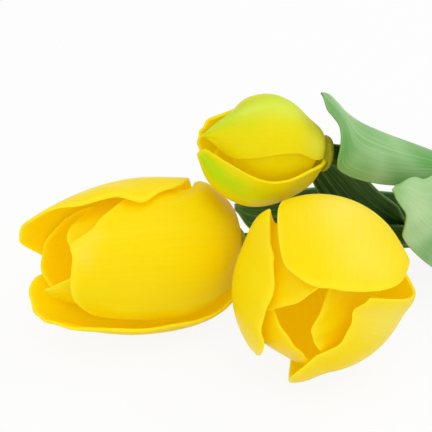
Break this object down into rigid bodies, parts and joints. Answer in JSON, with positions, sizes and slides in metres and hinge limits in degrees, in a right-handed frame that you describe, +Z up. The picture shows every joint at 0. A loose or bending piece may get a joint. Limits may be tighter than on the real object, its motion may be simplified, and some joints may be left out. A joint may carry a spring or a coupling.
{
  "type": "artificial tulip bouquet",
  "caption": "Bouquet of soft-moulded artificial tulips, from closed bud to open flower, on wire-cored stems with sheathing leaves and a tape band.",
  "frame": {"origin": "on the table, under the middle of the bouquet's box", "axes": "+X along the stems towards their cut ends, -Y towards the open flower's mouth, +Z up from the table"},
  "size_m": [0.3364, 0.1028, 0.074],
  "materials": {
    "outer_petal": "soft satin, pale edges",
    "inner_petal": "soft satin, deeper gold",
    "bud_petal": "soft satin, flushed lime green",
    "receptacle": "matt",
    "leaf": "soft matt, grey-green bloom",
    "stem": "satin",
    "wire": "drawn",
    "tape": "waxed crepe"
  },
  "bodies": {
    "stems": {"half_open_stem": "stem", "half_open_stem_wire": "wire", "bud_stem": "stem", "bud_stem_wire": "wire", "open_stem": "stem", "open_stem_wire": "wire", "tape_band": "tape"},
    "half_open_head": {"half_open_receptacle": "receptacle", "half_open_outer_petal_1": "outer_petal", "half_open_outer_petal_2": "outer_petal", "half_open_outer_petal_3": "outer_petal", "half_open_inner_petal_1": "inner_petal", "half_open_inner_petal_2": "inner_petal", "half_open_inner_petal_3": "inner_petal"},
    "bud_head": {"bud_receptacle": "receptacle", "bud_outer_petal_1": "bud_petal", "bud_outer_petal_2": "bud_petal", "bud_outer_petal_3": "bud_petal", "bud_inner_petal_1": "bud_petal", "bud_inner_petal_2": "bud_petal", "bud_inner_petal_3": "bud_petal"},
    "open_head": {"open_receptacle": "receptacle", "open_outer_petal_1": "outer_petal", "open_outer_petal_2": "outer_petal", "open_outer_petal_3": "outer_petal", "open_inner_petal_1": "inner_petal", "open_inner_petal_2": "inner_petal", "open_inner_petal_3": "inner_petal"},
    "bud_leaf": {"bud_leaf": "leaf"},
    "open_leaf": {"open_leaf": "leaf"},
    "half_open_leaf": {"half_open_leaf": "leaf"},
    "half_open_upper_leaf": {"half_open_upper_leaf": "leaf"}
  },
  "joints": [
    {"name": "half_open_head_turn", "type": "hinge", "parent": "stems", "child": "half_open_head", "pos_m": [-0.1028, 0.02272, 0.02074], "axis": [-0.9829, -0.1381, 0.1219], "continuous": true},
    {"name": "bud_head_turn", "type": "hinge", "parent": "stems", "child": "bud_head", "pos_m": [-0.0771, 0.01822, 0.05083], "axis": [-0.9703, 0, 0.2419], "continuous": true},
    {"name": "open_head_turn", "type": "hinge", "parent": "stems", "child": "open_head", "pos_m": [-0.082, 0.00362, 0.02503], "axis": [-0.2076, -0.9768, 0.0523], "continuous": true},
    {"name": "bud_leaf_turn", "type": "hinge", "parent": "stems", "child": "bud_leaf", "pos_m": [-0.00451, 0.01805, 0.02628], "axis": [-0.9401, 0.0028, 0.3408], "range_deg": [-3, 15]},
    {"name": "open_leaf_turn", "type": "hinge", "parent": "stems", "child": "open_leaf", "pos_m": [-0.00237, 0.01587, 0.01154], "axis": [-0.986, 0.0309, 0.1638], "range_deg": [-15, 3]},
    {"name": "half_open_leaf_turn", "type": "hinge", "parent": "stems", "child": "half_open_leaf", "pos_m": [0.02129, 0.02235, 0.0066], "axis": [-0.9922, 0.0598, 0.1091], "range_deg": [-12, 12]},
    {"name": "half_open_upper_leaf_turn", "type": "hinge", "parent": "stems", "child": "half_open_upper_leaf", "pos_m": [-0.02733, 0.02527, 0.01195], "axis": [-0.9922, 0.0598, 0.1091], "range_deg": [-6, 12]}
  ]
}
